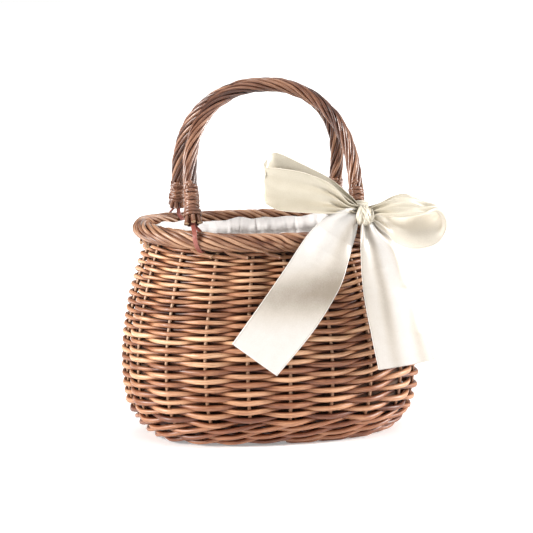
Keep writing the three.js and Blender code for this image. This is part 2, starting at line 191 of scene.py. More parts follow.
def new_piece(name, points, faces, uv_name, uvs, values):
    """An object with a mesh through points in millimetres, a uv layer, and named values at points."""
    mesh = bpy.data.meshes.new(name)
    mesh.from_pydata((points * MM).tolist(), [], faces)
    layer = mesh.uv_layers.new(name=uv_name)
    layer.data.foreach_set("uv", uvs.ravel().astype(np.float32))
    for label, numbers in values.items():
        attribute = mesh.attributes.new(label, "FLOAT", "POINT")
        attribute.data.foreach_set("value", numbers.astype(np.float32))
    mesh.update()
    return new_object(name, mesh)


class Bundle:
    """Collects rods into one mesh. Each rod is a tube along its points, with grain coordinates."""

    def __init__(self, sides=8):
        self.sides = sides
        self.vertices, self.quads, self.uvs = [], [], []
        self.caps, self.tones, self.painted_shades = [], [], []
        self.count = 0

    def add(self, points, radius, reference, tone, depth=1.0, closed=False, flat=1.0, square=1.0,
            groove=0.45):
        """flat squeezes the rod along the reference direction, square below 1 gives it corners, and
        depth is painted shade: 1 in front and 0 painted dark in a gap. The groove shade darkens, as
        painted shade, the sides that lie against other rods."""
        points = np.asarray(points, float)
        number = len(points)
        if closed:
            tangents = unit(np.roll(points, -1, axis=0) - np.roll(points, 1, axis=0))
        else:
            tangents = unit(np.gradient(points, axis=0))
        reference = np.broadcast_to(np.asarray(reference, float), points.shape)
        across = unit(np.cross(tangents, reference))
        outwards = np.cross(across, tangents)
        radius = np.broadcast_to(np.asarray(radius, float), (number,))
        angles = (np.arange(self.sides) + 0.5 * (square < 1)) / self.sides * TURN
        height, breadth = signed_power(np.cos(angles), square), signed_power(np.sin(angles), square)
        rings = (
            points[:, None, :]
            + outwards[:, None, :] * (height[None, :, None] * radius[:, None, None] * flat)
            + across[:, None, :] * (breadth[None, :, None] * radius[:, None, None]))
        steps = np.linalg.norm(np.diff(points, axis=0, append=points[:1]), axis=1)
        along = np.concatenate([[0], np.cumsum(steps)]) * MM
        spans = number if closed else number - 1
        i = np.arange(spans)[:, None]
        j = np.arange(self.sides)[None, :]
        nexti, nextj = (i + 1) % number, (j + 1) % self.sides
        corners = [i * self.sides + j, nexti * self.sides + j,
                   nexti * self.sides + nextj, i * self.sides + nextj]
        quads = np.stack([np.broadcast_to(c, (spans, self.sides)) for c in corners], -1)
        us = [along[i], along[i + 1], along[i + 1], along[i]]
        vs = [j / self.sides, j / self.sides, (j + 1) / self.sides, (j + 1) / self.sides]
        uvs = np.stack([np.stack(np.broadcast_arrays(u, v), -1) for u, v in zip(us, vs)], 2)
        self.vertices.append(rings.reshape(-1, 3))
        self.quads.append(quads.reshape(-1, 4)[:, ::-1] + self.count)
        self.uvs.append(uvs.reshape(-1, 4, 2)[:, ::-1])
        self.tones.append(np.full(number * self.sides, tone))
        depth = np.broadcast_to(np.asarray(depth, float), (number,))
        # painted shade: the sides and back of each rod, where it lies against others, are darkened
        painted_groove_shade = groove * (1 - np.clip(height, 0, 1)) ** 1.6
        self.painted_shades.append((depth[:, None] * (1 - painted_groove_shade[None, :])).ravel())
        if not closed:
            first = np.arange(self.sides) + self.count
            self.caps.append(first)
            self.caps.append((first + (number - 1) * self.sides)[::-1])
        self.count += number * self.sides

    def build(self, name, materials):
        """One object from all the rods; a second material is for their cut ends."""
        faces = np.concatenate(self.quads).tolist() + [cap.tolist() for cap in self.caps]
        uvs = np.concatenate(self.uvs).reshape(-1, 2)
        uvs = np.concatenate([uvs, np.zeros((len(self.caps) * self.sides, 2))])
        # depth carries the painted shade of gaps and grooves to the willow materials
        values = {"tone": np.concatenate(self.tones), "depth": np.concatenate(self.painted_shades)}
        piece = new_piece(name, np.concatenate(self.vertices), faces, "rod_uv", uvs, values)
        is_cap = np.arange(len(faces)) >= len(faces) - len(self.caps)
        piece.data.polygons.foreach_set("use_smooth", ~is_cap)
        for material in materials:
            piece.data.materials.append(material)
        if len(materials) > 1:
            piece.data.polygons.foreach_set("material_index", is_cap.astype(np.int32))
        return piece


def place(piece, body, slot, *nodes):
    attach(piece, body)
    if nodes:
        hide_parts(*nodes)


# --- materials ---


class Nodes:
    """A new node material, with short calls to add and link its nodes."""

    def __init__(self, name):
        self.material = bpy.data.materials.new(name)
        self.material.use_nodes = True
        self.tree = self.material.node_tree
        self.shader = self.tree.nodes["Principled BSDF"]

    def add(self, kind, settings=None, **inputs):
        node = self.tree.nodes.new(kind)
        for key, value in (settings or {}).items():
            setattr(node, key, value)
        for key, value in inputs.items():
            self.set(node, key.replace("_", " "), value)
        return node

    def set(self, node, key, value):
        socket = node.inputs[int(key)] if key.isdigit() else node.inputs[key]
        if isinstance(value, bpy.types.NodeSocket):
            self.tree.links.new(value, socket)
        else:
            socket.default_value = value

    def attribute(self, name):
        return self.add("ShaderNodeAttribute", {"attribute_name": name}).outputs["Fac"]

    def here(self):
        return self.add("ShaderNodeTexCoord").outputs["Object"]

    def cloth_uv(self):
        return self.add("ShaderNodeUVMap", {"uv_map": "cloth_uv"}).outputs["UV"]

    def times(self, a, b):
        return self.math("MULTIPLY", a, b)

    def total(self, first, *rest):
        """The sum of some values."""
        for value in rest:
            first = self.math("ADD", first, value)
        return first

    def math(self, operation, a, b=0.0):
        node = self.add("ShaderNodeMath", {"operation": operation})
        self.set(node, "0", a)
        self.set(node, "1", b)
        return node.outputs[0]

    def noise(self, vector, scale, detail=3.0, roughness=0.55):
        node = self.add("ShaderNodeTexNoise", Vector=vector, Scale=scale, Detail=detail,
                        Roughness=roughness)
        return node.outputs["Fac"]

    def ramp(self, factor, stops):
        node = self.add("ShaderNodeValToRGB", Fac=factor)
        elements = node.color_ramp.elements
        while len(elements) < len(stops):
            elements.new(1.0)
        for element, (position, colour) in zip(elements, stops):
            element.position = position
            element.color = (*colour, 1.0)
        return node.outputs["Color"]

    def mix(self, factor, a, b, blend="MIX"):
        node = self.add("ShaderNodeMix", {"data_type": "RGBA", "blend_type": blend})
        self.set(node, "0", factor)
        self.set(node, "6", a)
        self.set(node, "7", b)
        return node.outputs[2]

    def bump(self, height, distance, strength=1.0):
        node = self.add("ShaderNodeBump", Height=height, Distance=distance, Strength=strength)
        return node.outputs["Normal"]

    def shade(self, **inputs):
        for key, value in inputs.items():
            self.set(self.shader, key.replace("_", " "), value)
        return self.material


def rod_vector(nodes, along, around):
    """Grain coordinates: stretched along the rod, and different on each rod."""
    uv = nodes.add("ShaderNodeUVMap", {"uv_map": "rod_uv"}).outputs["UV"]
    parts = nodes.add("ShaderNodeSeparateXYZ", Vector=uv)
    turned = nodes.times(parts.outputs["Y"], TURN)
    return nodes.add(
        "ShaderNodeCombineXYZ",
        X=nodes.total(nodes.times(parts.outputs["X"], along), nodes.times(nodes.attribute("tone"), 91.0)),
        Y=nodes.times(nodes.math("COSINE", turned), around),
        Z=nodes.times(nodes.math("SINE", turned), around),
    ).outputs["Vector"]


def willow(name, pale, warm, brown, gap, roughness, coat=0.12):
    """Buff willow: streaks along the rod, a tone for each rod, blotches, and painted shade in gaps and
    grooves.

    Painted shade also makes the wall's lowest rods darker and redder."""
    nodes = Nodes(name)
    streaks = nodes.noise(rod_vector(nodes, 80.0, 2.2), 1.0, 5.0, 0.62)
    blotches = nodes.noise(nodes.here(), 42.0, 2.0)
    mixed = nodes.total(nodes.times(streaks, 0.85), nodes.times(nodes.attribute("tone"), 0.4),
                        nodes.times(blotches, 0.22))
    colour = nodes.ramp(mixed, [(0.5, brown), (0.7, warm), (0.93, pale)])
    flecks = nodes.noise(rod_vector(nodes, 260.0, 3.0), 1.0, 2.0)
    fleck_mask = nodes.ramp(flecks, [(0.68, (0, 0, 0)), (0.76, (1, 1, 1))])
    colour = nodes.mix(nodes.times(fleck_mask, 0.35), colour, (*brown, 1.0))
    level = nodes.add("ShaderNodeSeparateXYZ", Vector=nodes.here()).outputs["Z"]
    # painted shade: the wall is made darker and redder towards the bottom
    painted_low_shade = nodes.add("ShaderNodeMapRange", Value=level, From_Min=0.01, From_Max=0.085,
                         To_Min=1.0, To_Max=0.0).outputs["Result"]
    colour = nodes.mix(painted_low_shade, colour, nodes.mix(1.0, colour, (0.62, 0.47, 0.4, 1.0), "MULTIPLY"))
    # painted shade: rods in gaps and grooves darken towards the gap colour, through the depth value
    shade = nodes.ramp(nodes.attribute("depth"), [
        (0.0, gap), (0.4, (0.4, 0.25, 0.17)), (0.75, (0.8, 0.7, 0.62)), (1.0, (1, 1, 1))])
    colour = nodes.mix(1.0, colour, shade, "MULTIPLY")
    grain = nodes.noise(rod_vector(nodes, 30.0, 3.4), 1.0, 5.0, 0.65)
    rough = nodes.total(nodes.times(streaks, 0.25), roughness - 0.12)
    return nodes.shade(Base_Color=colour, Roughness=rough, Coat_Weight=coat, Coat_Roughness=0.3,
                       Normal=nodes.bump(grain, 0.00035, 0.5))


def cut_end():
    """Pale end grain with a darker pith."""
    nodes = Nodes("cut_end")
    rings = nodes.noise(nodes.here(), 1400.0, 2.0)
    colour = nodes.ramp(rings, [(0.3, (0.36, 0.22, 0.12)), (0.6, (0.66, 0.47, 0.29))])
    return nodes.shade(Base_Color=colour, Roughness=0.8, Normal=nodes.bump(rings, 0.0002))


PALE = (0.76, 0.48, 0.29)
WARM = (0.4, 0.18, 0.088)
BROWN = (0.2, 0.075, 0.036)
# painted shade: the colour that rods in gaps and grooves darken to
GAP_SHADE = (0.08, 0.026, 0.014)

# the fifth colour given to each willow is its painted shade in gaps
MAT = {
    "rods": willow("willow_rods", PALE, WARM, BROWN, GAP_SHADE, 0.42),
    "stakes": willow("willow_stakes", (0.62, 0.4, 0.26), (0.46, 0.26, 0.15), BROWN, GAP_SHADE, 0.44),
    "border": willow("border_rods", (0.46, 0.265, 0.16), (0.22, 0.098, 0.05), (0.08, 0.028, 0.014),
                     GAP_SHADE, 0.38, 0.2),
    "handle": willow("handle_rods", (0.38, 0.2, 0.12), (0.15, 0.058, 0.03), (0.05, 0.017, 0.009),
                     (0.05, 0.018, 0.01), 0.3, 0.4),
    "skein": willow("skein", (0.29, 0.135, 0.075), (0.145, 0.056, 0.03), (0.05, 0.017, 0.009),
                    (0.05, 0.018, 0.01), 0.3, 0.4),
    "cut": cut_end(),
}

# --- wall ---
ROW_SAMPLES = 320
ROW_TOP = 149.0
PITCH_HEIGHTS = [18, 30, 55, 82, 108, 130, 146]
PITCHES = [3.62, 3.55, 3.3, 3.13, 2.95, 2.5, 2.3]
ROD_RADIUS = 1.52
RIGHT_CLIMB = 8.0
RODS_PER_ROW = 2
FRONT_SWELL = 0.34
PLAIN_PITCH = 2.95                          # rods are as thick as ROD_RADIUS at this pitch
UPSETT_START = 0.5
UPSETT_ROUNDS = 3.3
UPSETT_RADIUS = 1.85
SHOWN_STAKE_RADIUS = 1.42
STAKE_SAMPLES = 60


def row_levels():
    """Row heights: thick rods far apart low down, thinner and closer ones towards the top."""
    levels = [UPSETT_TOP + 1.4]
    while levels[-1] < ROW_TOP:
        levels.append(levels[-1] + np.interp(levels[-1], PITCH_HEIGHTS, PITCHES))
    return np.array(levels[:-1])


def rand_row(bundle, level, row, size):
    """One rod, before one stake and behind the next, with a slight kink at each stake."""
    shares = np.arange(ROW_SAMPLES) / ROW_SAMPLES
    phase = math.pi * ((shares - STAKE_START) * STAKES + row)
    kinked = 1 - 2 / math.pi * np.arccos(np.cos(phase))
    side = 0.6 * np.cos(phase) + 0.4 * kinked
    taper = 1.1 - 0.2 * ((shares * RODS_PER_ROW + rng.uniform(0, 1)) % 1.0)
    size = size * taper * rng.uniform(0.95, 1.05)
    radius = size * (ROD_RADIUS + FRONT_SWELL * smooth(side, -0.2, 0.9))
    offset = -STAKE_INSET + side * (STAKE_RADIUS + ROD_RADIUS - 0.05)
    offset = offset + wobble(ROW_SAMPLES, (7, 11, 20), 0.25)
    turn = even_turn(shares)
    z = level + wobble(ROW_SAMPLES, (2, 5, 9, 14, 21), 0.42) - 0.3 * side
    z = z + (border_height(turn) - BORDER_HEIGHT) * smooth(level, 105, 146)
    climb = smooth(np.cos(turn * TURN), 0.25, 0.85) * smooth(level, 22, 52) * smooth(level, 152, 108)
    z = z + RIGHT_CLIMB * climb
    points, normals = wall_point(turn, z, offset)
    # painted shade: the rod darkens where it goes behind a stake, and along its sides against its
    # neighbours
    depth = smooth(side, -1.25, 0.7)
    bundle.add(points, radius, normals, rng.uniform(0, 1), depth, closed=True, flat=0.95, groove=0.6)


def randing():
    """Seven courses of single rods, and a last one where the wall draws in below the border."""
    levels = row_levels()
    share = (levels - UPSETT_TOP) / (RANDING_TOP - UPSETT_TOP)
    courses = np.minimum(share * COURSES, COURSES).astype(int)
    for course in range(COURSES + 1):
        bundle = Bundle(8)
        for row in np.flatnonzero(courses == course):
            pitch = np.interp(levels[row], PITCH_HEIGHTS, PITCHES)
            rand_row(bundle, levels[row], row, pitch / PLAIN_PITCH)
        name, node = f"randing_rods_{course + 1}", f"randing_course_{course + 1}"
        if course == COURSES:
            name, node = "top_rods", "top_wale"
        place(bundle.build(name, [MAT["rods"]]), "basket", "willow", node)


def profile_table():
    """Height of the wall for each distance along its profile from the foot."""
    z = np.linspace(0, NECK_HEIGHT + 10, 3001)
    size = wall_oval(z)[:, :2].mean(1)
    distance = np.concatenate([[0], np.cumsum(np.hypot(np.diff(z), np.diff(size)))])
    return lambda reach: np.interp(reach, distance, z), lambda level: np.interp(level, z, distance)


PROFILE_HEIGHT, PROFILE_REACH = profile_table()


def upsett():
    """Three rods at the foot, each before two stakes and behind one, climbing as a spiral."""
    bundle = Bundle(8)
    samples = int(UPSETT_ROUNDS * STAKES * 12)
    stakes = np.linspace(0, UPSETT_ROUNDS * STAKES, samples)
    rise = (PROFILE_REACH(UPSETT_TOP) - 1.0) / UPSETT_ROUNDS
    for rod in range(3):
        stroke = TURN * ((stakes - rod + 0.5) % 3 - 1) / 3
        side = np.cos(stroke)
        reach = UPSETT_START + rise * (stakes / STAKES + np.sin(stroke) * 0.35)
        z = PROFILE_HEIGHT(np.maximum(reach, UPSETT_START))
        offset = -STAKE_INSET + side * (STAKE_RADIUS + UPSETT_RADIUS - 0.1)
        points, normals = wall_point(even_turn(STAKE_START + stakes / STAKES), z, offset)
        points[:, 2] = np.maximum(points[:, 2], UPSETT_RADIUS * 0.9)
        radius = UPSETT_RADIUS * (1 + wobble(samples, (5, 9, 14), 0.05, closed=False))
        # painted shade: each rod darkens where it goes behind a stake, and along its sides
        bundle.add(points, radius, normals, rng.uniform(0.1, 0.9), smooth(side, -0.95, 0.2))
    place(bundle.build("upsett_rods", [MAT["rods"], MAT["cut"]]), "basket", "willow", "upsett_wale")


def side_stakes():
    """Twenty upright rods that show in the gaps of the weave and below the border."""
    bundle = Bundle(8)
    for index in range(STAKES):
        turn = even_turn(STAKE_START + index / STAKES)
        top = border_height(turn) - BORDER_RADIUS - 0.5
        z = np.linspace(1.6, top, STAKE_SAMPLES)
        points, normals = wall_point(turn, z, -STAKE_INSET)
        tone = rng.uniform(0.2, 0.9)
        along = unit(np.cross(normals, unit(np.gradient(points, axis=0))))
        sway = wobble(STAKE_SAMPLES, (1, 2), 0.3, closed=False)[:, None]
        # painted shade: the stakes are a little darkened, most on their sides
        bundle.add(points + along * sway, SHOWN_STAKE_RADIUS, normals, tone, 0.95)
    nodes = [f"side_stake_{index + 1}" for index in range(STAKES)]
    place(bundle.build("side_stakes", [MAT["stakes"], MAT["cut"]]), "basket", "willow_stakes", *nodes)


randing()
upsett()
side_stakes()

# --- base ---
BASE_ROW_PITCH = 3.3
BASE_ROW_RADIUS = 1.55
BASE_EDGE = 5.0                             # from the foot's outline to the outermost row
BASE_MIDDLE = 6.0                           # half depth that the rows leave free
BASE_LEVEL = 2.5
BASE_CROSSINGS = 24
CENTRE_ROD_REACH = 28.0
CENTRE_ROD_RADIUS = 1.8


def base_rows():
    """Rods woven round the base sticks, in shrinking ovals on the underside."""
    bundle = Bundle(6)
    shares = np.arange(160) / 160
    for row, inset in enumerate(np.arange(BASE_EDGE, FOOT[1] - BASE_MIDDLE, BASE_ROW_PITCH)):
        oval = np.array([FOOT[0] - inset, FOOT[1] - inset, 2.4])
        flat, _ = oval_point(oval, even_turn(shares))
        side = np.cos(math.pi * (shares * BASE_CROSSINGS + row))
        points = np.column_stack([flat, BASE_LEVEL + side * 0.9])
        # painted shade: each row darkens where it passes to the inner side of the sticks
        bundle.add(points, BASE_ROW_RADIUS, UP, rng.uniform(0, 1), smooth(-side, -1, 0.4), closed=True)
    centre_rod = [[-CENTRE_ROD_REACH, 0, 2.6], [0, 0, 2.4], [CENTRE_ROD_REACH, 0, 2.6]]
    # painted shade: the centre rod's sides are darkened
    bundle.add(centre_rod, CENTRE_ROD_RADIUS, UP, 0.4)
    place(bundle.build("base_rods", [MAT["rods"], MAT["cut"]]), "basket", "willow", "base_weave")


def base_sticks():
    """The thick sticks that cross under the base rows."""
    bundle = Bundle(8)
    names = [f"base_long_stick_{index + 1}" for index in range(2)]
    names += [f"base_short_stick_{index + 1}" for index in range(5)]
    for name in names:
        low, high = (np.array(corner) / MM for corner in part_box(name))
        half = (high - low) / 2
        reach = np.where(np.arange(3) == np.argmax(half), half, 0)
        points = np.linspace(low + half - reach, low + half + reach, 24)
        # painted shade: a little on the sides of each stick
        bundle.add(points, half[2], UP, rng.uniform(0.2, 0.9), groove=0.2)
    place(bundle.build("base_sticks", [MAT["stakes"], MAT["cut"]]), "basket", "willow_stakes", *names)


# --- border ---
BORDER_STRANDS = 10
BORDER_LAY_TURNS = 6
BORDER_SAMPLES = 420
BORDER_ROD_RADIUS = 1.66
BORDER_ROD_INSET = 1.75
BORDER_CORE_RADIUS = 4.4
HIDDEN_ENDS = (3, 9, 16)                    # stakes whose cut ends stay inside the border
END_PATH = [(-0.4, -4.0), (-0.2, -8.2), (0.2, -9.8), (1.0, -11.3)]  # outwards and up from its centre


def border_place(share, angle, reach):
    """A point at an angle and distance round the border's own axis; angle 0 is outwards."""
    turn = even_turn(share)
    flat, outwards = oval_point(BORDER, turn)
    centre = np.concatenate([flat, border_height(turn)[..., None]], -1)
    outwards = np.concatenate([outwards, np.zeros_like(outwards[..., :1])], -1)
    radial = outwards * np.cos(angle)[..., None] + UP * np.sin(angle)[..., None]
    return centre + radial * np.asarray(reach)[..., None], radial


def rolled_border():
    """The roll at the mouth: rods laid round a core painted dark as shade, with the stakes' ends under
    it.
    """
    bundle = Bundle(10)
    shares = np.arange(BORDER_SAMPLES) / BORDER_SAMPLES
    for strand in range(BORDER_STRANDS):
        wander = wobble(BORDER_SAMPLES, (5, 9, 14, 23), 0.07)
        angle = strand / BORDER_STRANDS * TURN - BORDER_LAY_TURNS * TURN * shares + wander
        lift = wobble(BORDER_SAMPLES, (6, 13, 19, 31), 0.5)
        radius = BORDER_ROD_RADIUS + wobble(BORDER_SAMPLES, (4, 7, 11, 17), 0.16)
        points, radial = border_place(shares, angle, BORDER_RADIUS - BORDER_ROD_INSET + lift)
        # painted shade: strands that sink into the roll darken, and their sides against neighbours
        depth = smooth(lift, -1.0, 0.1)
        bundle.add(points, radius, radial, rng.uniform(0, 1), depth, closed=True, groove=0.8)
    core, radial = border_place(shares, np.zeros(BORDER_SAMPLES), np.zeros(BORDER_SAMPLES))
    # the core is painted in the gap colour, as shade between the strands
    bundle.add(core, BORDER_CORE_RADIUS, radial, 0.1, 0.0, closed=True)
    border_ends(bundle)
    place(bundle.build("border_rods", [MAT["border"], MAT["cut"]]), "basket", "willow", "rolled_border")


def spline(controls, samples):
    """A smooth path through given points (Catmull-Rom)."""
    controls = np.asarray(controls, float)
    padded = np.vstack([2 * controls[0] - controls[1], controls, 2 * controls[-1] - controls[-2]])
    spans = np.linspace(0, len(controls) - 1, samples)
    index = np.minimum(spans.astype(int), len(controls) - 2)
    t = (spans - index)[:, None]
    a, b, c, d = (padded[index + shift] for shift in range(4))
    return 0.5 * (2 * b + (c - a) * t + (2 * a - 5 * b + 4 * c - d) * t ** 2
                  + (3 * b - a - 3 * c + d) * t ** 3)


def border_ends(bundle):
    """Cut ends of the stakes, which come out under the border and lie along the top rows."""
    for stake in range(STAKES):
        if stake in HIDDEN_ENDS:
            continue
        start = STAKE_START + (stake + rng.uniform(0.0, 0.2)) / STAKES
        length = rng.uniform(0.55, 0.85) / STAKES
        controls = []
        for step, (reach, lift) in enumerate(END_PATH):
            turn = even_turn(start + length * step / 3)
            flat, outwards = oval_point(BORDER, turn)
            controls.append([*(flat + outwards * reach), border_height(turn) + lift])
        # painted shade: the ends are a little darkened, most on their sides
        bundle.add(spline(controls, 16), rng.uniform(1.35, 1.7), UP, rng.uniform(0.3, 1), 0.95)


# --- handles ---
ROPE_STRANDS = 9
ROPE_PITCH = 88.0
ROPE_SAMPLES = 300
ROPE_ROD_RADIUS = 1.42
ROPE_ROD_INSET = 1.45
ROPE_CORE_RADIUS = 2.9
ROPE_ENDS = 7
SKEIN_PITCH = 3.4
SKEIN_HALF_WIDTH = 1.62
BOUND_LENGTHS = {("front", "left"): BINDING_LENGTH - 1.0, ("front", "right"): BINDING_LENGTH - 5.0,
                 ("back", "left"): BINDING_LENGTH - 9.0, ("back", "right"): BINDING_LENGTH - 10.0}


class HandlePlane:
    """The plane a handle lies in: side is -1 in front and +1 behind."""

    def __init__(self, side):
        pivot_height = FRONT_PIVOT_HEIGHT if side < 0 else BACK_PIVOT_HEIGHT
        rise = np.array([0, side * (HANDLE_TOP_DEPTH - PIVOT_DEPTH), HANDLE_TOP_HEIGHT - pivot_height])
        self.origin = np.array([HANDLE_SHIFT, side * PIVOT_DEPTH, pivot_height])
        self.height = float(np.linalg.norm(rise))
        self.up = rise / self.height
        self.facing = unit(np.cross(RIGHT, self.up))

    def point(self, x, reach):
        x, reach = np.broadcast_arrays(np.asarray(x, float), np.asarray(reach, float))
        return self.origin + x[..., None] * RIGHT + reach[..., None] * self.up

    def path(self):
        """Evenly spaced points from the left foot over the arch to the right foot."""
        angle = np.pi * (1 - np.linspace(0, 1, 400))
        arch_x = HANDLE_SPAN * signed_power(np.cos(angle), 2 / ARCH_POWER)
        rise = np.abs(np.sin(angle)) ** (2 / ARCH_POWER)
        arch_reach = LEG_REACH + (self.height - LEG_REACH) * rise
        leg = np.linspace(BINDING_START - 2, LEG_REACH, 40)[:-1]
        side = np.full(len(leg), HANDLE_SPAN)
        x = np.concatenate([-side, arch_x, side])
        reach = np.concatenate([leg, arch_reach, leg[::-1]])
        points = self.point(x, reach)
        steps = np.concatenate([[0], np.cumsum(np.linalg.norm(np.diff(points, axis=0), axis=1))])
        even = np.linspace(0, steps[-1], ROPE_SAMPLES)
        path = np.column_stack([np.interp(even, steps, points[:, axis]) for axis in range(3)])
        return path, even


def handle_rope(label, side):
    """One handle: rods laid into a rope round a core painted dark as shade."""
    plane = HandlePlane(side)
    path, distance = plane.path()
    tangents = unit(np.gradient(path, axis=0))
    inwards = np.cross(tangents, plane.facing)
    bundle = Bundle(10)
    for strand in range(ROPE_STRANDS):
        wander = wobble(ROPE_SAMPLES, (2, 3, 5, 8), 0.1, closed=False)
        angle = strand / ROPE_STRANDS * TURN + distance / ROPE_PITCH * TURN + wander
        lift = wobble(ROPE_SAMPLES, (2, 5, 7, 9), 0.36, closed=False)
        radial = plane.facing * np.cos(angle)[:, None] + inwards * np.sin(angle)[:, None]
        points = path + radial * (ROPE_RADIUS - ROPE_ROD_INSET + lift)[:, None]
        radius = ROPE_ROD_RADIUS + wobble(ROPE_SAMPLES, (1, 3, 4), 0.16, closed=False)
        # painted shade: strands that sink into the rope darken, and their sides against neighbours
        bundle.add(points, radius, radial, rng.uniform(0, 1), smooth(lift, -0.9, 0.05), groove=0.85)
    # the core is painted in the gap colour, as shade between the strands
    bundle.add(path, ROPE_CORE_RADIUS, inwards, 0.1, 0.0)
    rope = bundle.build(f"{label}_handle_rods", [MAT["handle"], MAT["cut"]])
    place(rope, f"{label}_handle", "handle_willow",
          f"{label}_handle_winding_a", f"{label}_handle_winding_b", f"{label}_handle_core")


def leg_ring(plane, hand, radius, reach, angle):
    """Points round a leg and their directions away from it."""
    radial = RIGHT * np.cos(angle)[..., None] + plane.facing * np.sin(angle)[..., None]
    return plane.point(hand * HANDLE_SPAN, reach) + radial * np.asarray(radius)[..., None], radial


def binding(label, hand_label, side, hand):
    """Split willow wound round the foot of a leg, over cut rod ends that spread below it."""
    plane = HandlePlane(side)
    length = BOUND_LENGTHS[label, hand_label]
    bundle = Bundle(8)
    turns = round(length / SKEIN_PITCH)
    samples = turns * 26
    share = np.linspace(0, 1, samples)
    angle = share * turns * TURN + rng.uniform(0, TURN)
    reach = BINDING_START + 1.2 + share * (length - 2.4)
    reach = reach + 0.7 * np.sin(angle + 0.6) + wobble(samples, (5, 9, 13), 0.3, closed=False)
    radius = ROPE_RADIUS - 0.1 + wobble(samples, (7, 11, 17), 0.22, closed=False)
    points, radial = leg_ring(plane, hand, radius, reach, angle)
    width = SKEIN_HALF_WIDTH + wobble(samples, (6, 10), 0.14, closed=False)
    # painted shade: the skein's sides, where the turns lie against each other, are darkened
    bundle.add(points, width, radial, 0.6, 0.95, flat=0.5, groove=0.9)
    core = plane.point(hand * HANDLE_SPAN, np.linspace(BINDING_START, BINDING_START + length - 1, 8))
    # the core is painted in the gap colour, as shade between the turns
    bundle.add(core, ROPE_RADIUS - 0.7, plane.facing, 0.1, 0.0)
    collar = np.linspace(0, TURN, 40, endpoint=False)
    # painted shade: the collars' sides are darkened
    for level, outside in ((BINDING_START - 0.6, 0.9), (BINDING_START + 1.9, 0.6)):
        points, radial = leg_ring(plane, hand, np.full(collar.shape, ROPE_RADIUS + outside),
                                  level + 0.5 * np.sin(collar), collar)
        bundle.add(points, 1.35, radial, 0.5, 1.0, closed=True, flat=0.7, groove=0.9)
    cross = np.linspace(-0.5, 0.5, 14)
    # painted shade: the crossing strips' sides are darkened
    for level in (0.36, 0.62):
        for slope in (-1, 1):
            points, radial = leg_ring(
                plane, hand, ROPE_RADIUS + 0.75 - cross ** 2 * 2.4,
                BINDING_START + length * level + slope * cross * 5, math.pi / 2 + cross * 2.5)
            bundle.add(points, 1.1, radial, 0.8, 1.0, flat=0.55, groove=0.9)
    knob(bundle, plane, hand, length)
    rope_ends(bundle, plane, hand)
    piece = bundle.build(f"{label}_{hand_label}_skein", [MAT["skein"], MAT["cut"]])
    place(piece, f"{label}_handle", "cane_binding", f"{label}_{hand_label}_binding")


def knob(bundle, plane, hand, length):
    """The tucked end of the skein, which curls out above the binding."""
    share = np.linspace(0, 1, 18)
    curl = share * 1.5 * np.pi
    angle = math.pi / 2 + 0.35 - 0.32 * np.sin(curl)
    reach = BINDING_START + length - 1 + 2.4 * share + 1.8 * np.sin(curl * 0.8)
    radius = ROPE_RADIUS + 0.3 + 1.1 * np.sin(share * np.pi)
    points, radial = leg_ring(plane, hand, radius, reach, angle)
    # painted shade: the sides of the tucked end are darkened
    bundle.add(points, 1.2, radial, 0.9, 1.0, flat=0.8)


def rope_ends(bundle, plane, hand):
    """Cut ends of the handle's rods, spread below the binding."""
    for end in range(ROPE_ENDS):
        angle = (end + rng.uniform(-0.2, 0.2)) / ROPE_ENDS * TURN
        foot = FOOT_REACH + rng.uniform(0.2, 1.2)
        share = np.linspace(0, 1, 10)
        reach = foot + (BINDING_START + 3 - foot) * (1 - share)
        radius = 3.9 + 2.0 * share ** 1.5
        points, radial = leg_ring(plane, hand, radius, reach, np.full(10, angle))
        # painted shade: the ends are a little darkened, most on their sides
        bundle.add(points, rng.uniform(1.6, 1.9), radial, rng.uniform(0.2, 0.9), 0.95)


base_rows()
base_sticks()
rolled_border()
for label, side in HANDLES:
    handle_rope(label, side)
    for hand_label, hand in HANDS:
        binding(label, hand_label, side, hand)

# --- cloth ---
SATIN_THICKNESS = 0.35
COTTON_THICKNESS = 0.6
RIBBON_WIDTH = 41.0
RIBBON_COLUMNS = 56


def cloth_piece(name, grid, material, thickness, closed=False, shade=0.0):
    """A sheet through a grid of points (along, across), with yarn coordinates in metres.

    shade is painted light and shade: 0 paints the cloth bright and 1 paints it grey, where its lustre
    would turn away."""
    along, across = grid.shape[:2]
    rows = along if closed else along - 1
    i, j = np.meshgrid(np.arange(rows), np.arange(across - 1), indexing="ij")
    nexti = (i + 1) % along
    faces = np.stack([i * across + j, nexti * across + j, nexti * across + j + 1, i * across + j + 1], -1)
    middle = grid[:, across // 2]
    ahead = np.linalg.norm(np.diff(middle, axis=0, append=middle[:1]), axis=1)
    distance = np.concatenate([[0], np.cumsum(ahead)]) * MM
    widths = np.linalg.norm(np.diff(grid, axis=1), axis=2).sum(1).max() * MM
    share = np.arange(across) / (across - 1)
    corner_u = [distance[i], distance[i + 1], distance[i + 1], distance[i]]
    corner_v = [share[j], share[j], share[j + 1], share[j + 1]]
    uvs = np.stack([np.stack([u, v], -1) for u, v in zip(corner_u, corner_v)], -2)
    nearest = np.minimum(share, 1 - share) * widths / MM
    # shade carries the painted light and shade to the satin
    values = {"edge": np.tile(nearest, along),
              "shade": np.broadcast_to(shade, (along, across)).ravel()}
    piece = new_piece(name, grid.reshape(-1, 3), faces.reshape(-1, 4).tolist(), "cloth_uv",
                      uvs * [1.0, widths], values)
    piece.data.polygons.foreach_set("use_smooth", [True] * len(piece.data.polygons))
    piece.data.materials.append(material)
    solid = piece.modifiers.new("thickness", "SOLIDIFY")
    solid.thickness = thickness * MM
    solid.offset = 0.0
    return piece


